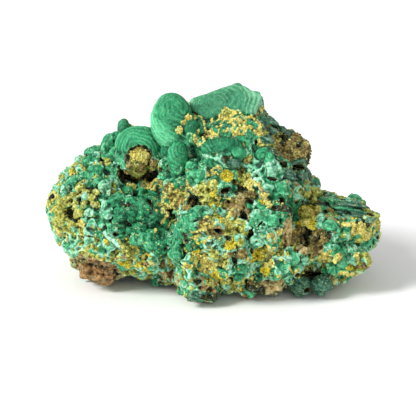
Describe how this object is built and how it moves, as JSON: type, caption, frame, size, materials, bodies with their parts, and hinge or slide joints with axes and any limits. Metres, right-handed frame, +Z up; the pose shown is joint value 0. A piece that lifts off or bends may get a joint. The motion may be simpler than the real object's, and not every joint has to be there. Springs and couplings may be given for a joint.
{
  "type": "malachite specimen",
  "caption": "Freestanding malachite mineral specimen: an intergrown stone of rounded green lobes, a pitted mint crust, yellow grains and an iron-brown foot, on a flat underside.",
  "frame": {"origin": "centre of the stone's footprint box, on the surface it rests on", "axes": "+X along the longest extent, towards the low arm; -Y towards the crusted front; +Z up"},
  "size_m": [0.12, 0.076, 0.0715],
  "materials": {
    "malachite": "matte to slightly satin green stone with mint crust, yellow grains and a rust-brown patch"
  },
  "bodies": {
    "root": {"malachite_specimen": "malachite"}
  },
  "joints": []
}
